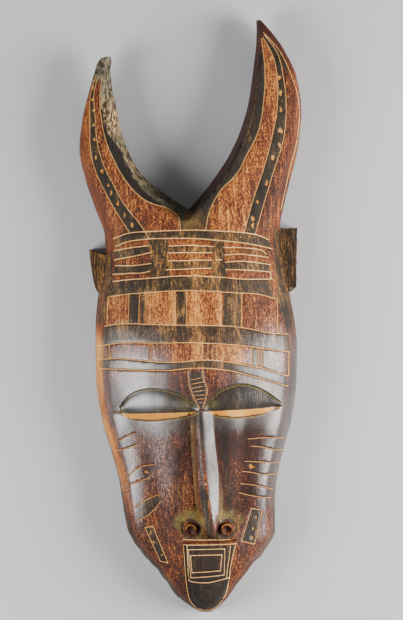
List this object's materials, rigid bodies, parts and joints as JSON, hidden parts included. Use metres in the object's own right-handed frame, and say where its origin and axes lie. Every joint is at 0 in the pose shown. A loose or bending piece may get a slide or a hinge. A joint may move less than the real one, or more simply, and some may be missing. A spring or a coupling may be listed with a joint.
{
  "type": "horned wooden face mask",
  "caption": "Carved wooden face mask with long curved horns, small ears, a hollow back and incised line patterns, lying face up.",
  "frame": {"origin": "on the table under the middle of the mask's box", "axes": "+Y from the chin to the horns, +Z out of the face, +X to the right as the face is looked at"},
  "size_m": [0.152, 0.401, 0.061],
  "materials": {
    "carved_wood": "red-brown and near-black stain over pale wood, polished with clear wax, knife-cut pale lines"
  },
  "bodies": {
    "root": {"mask": "carved_wood"}
  },
  "joints": []
}
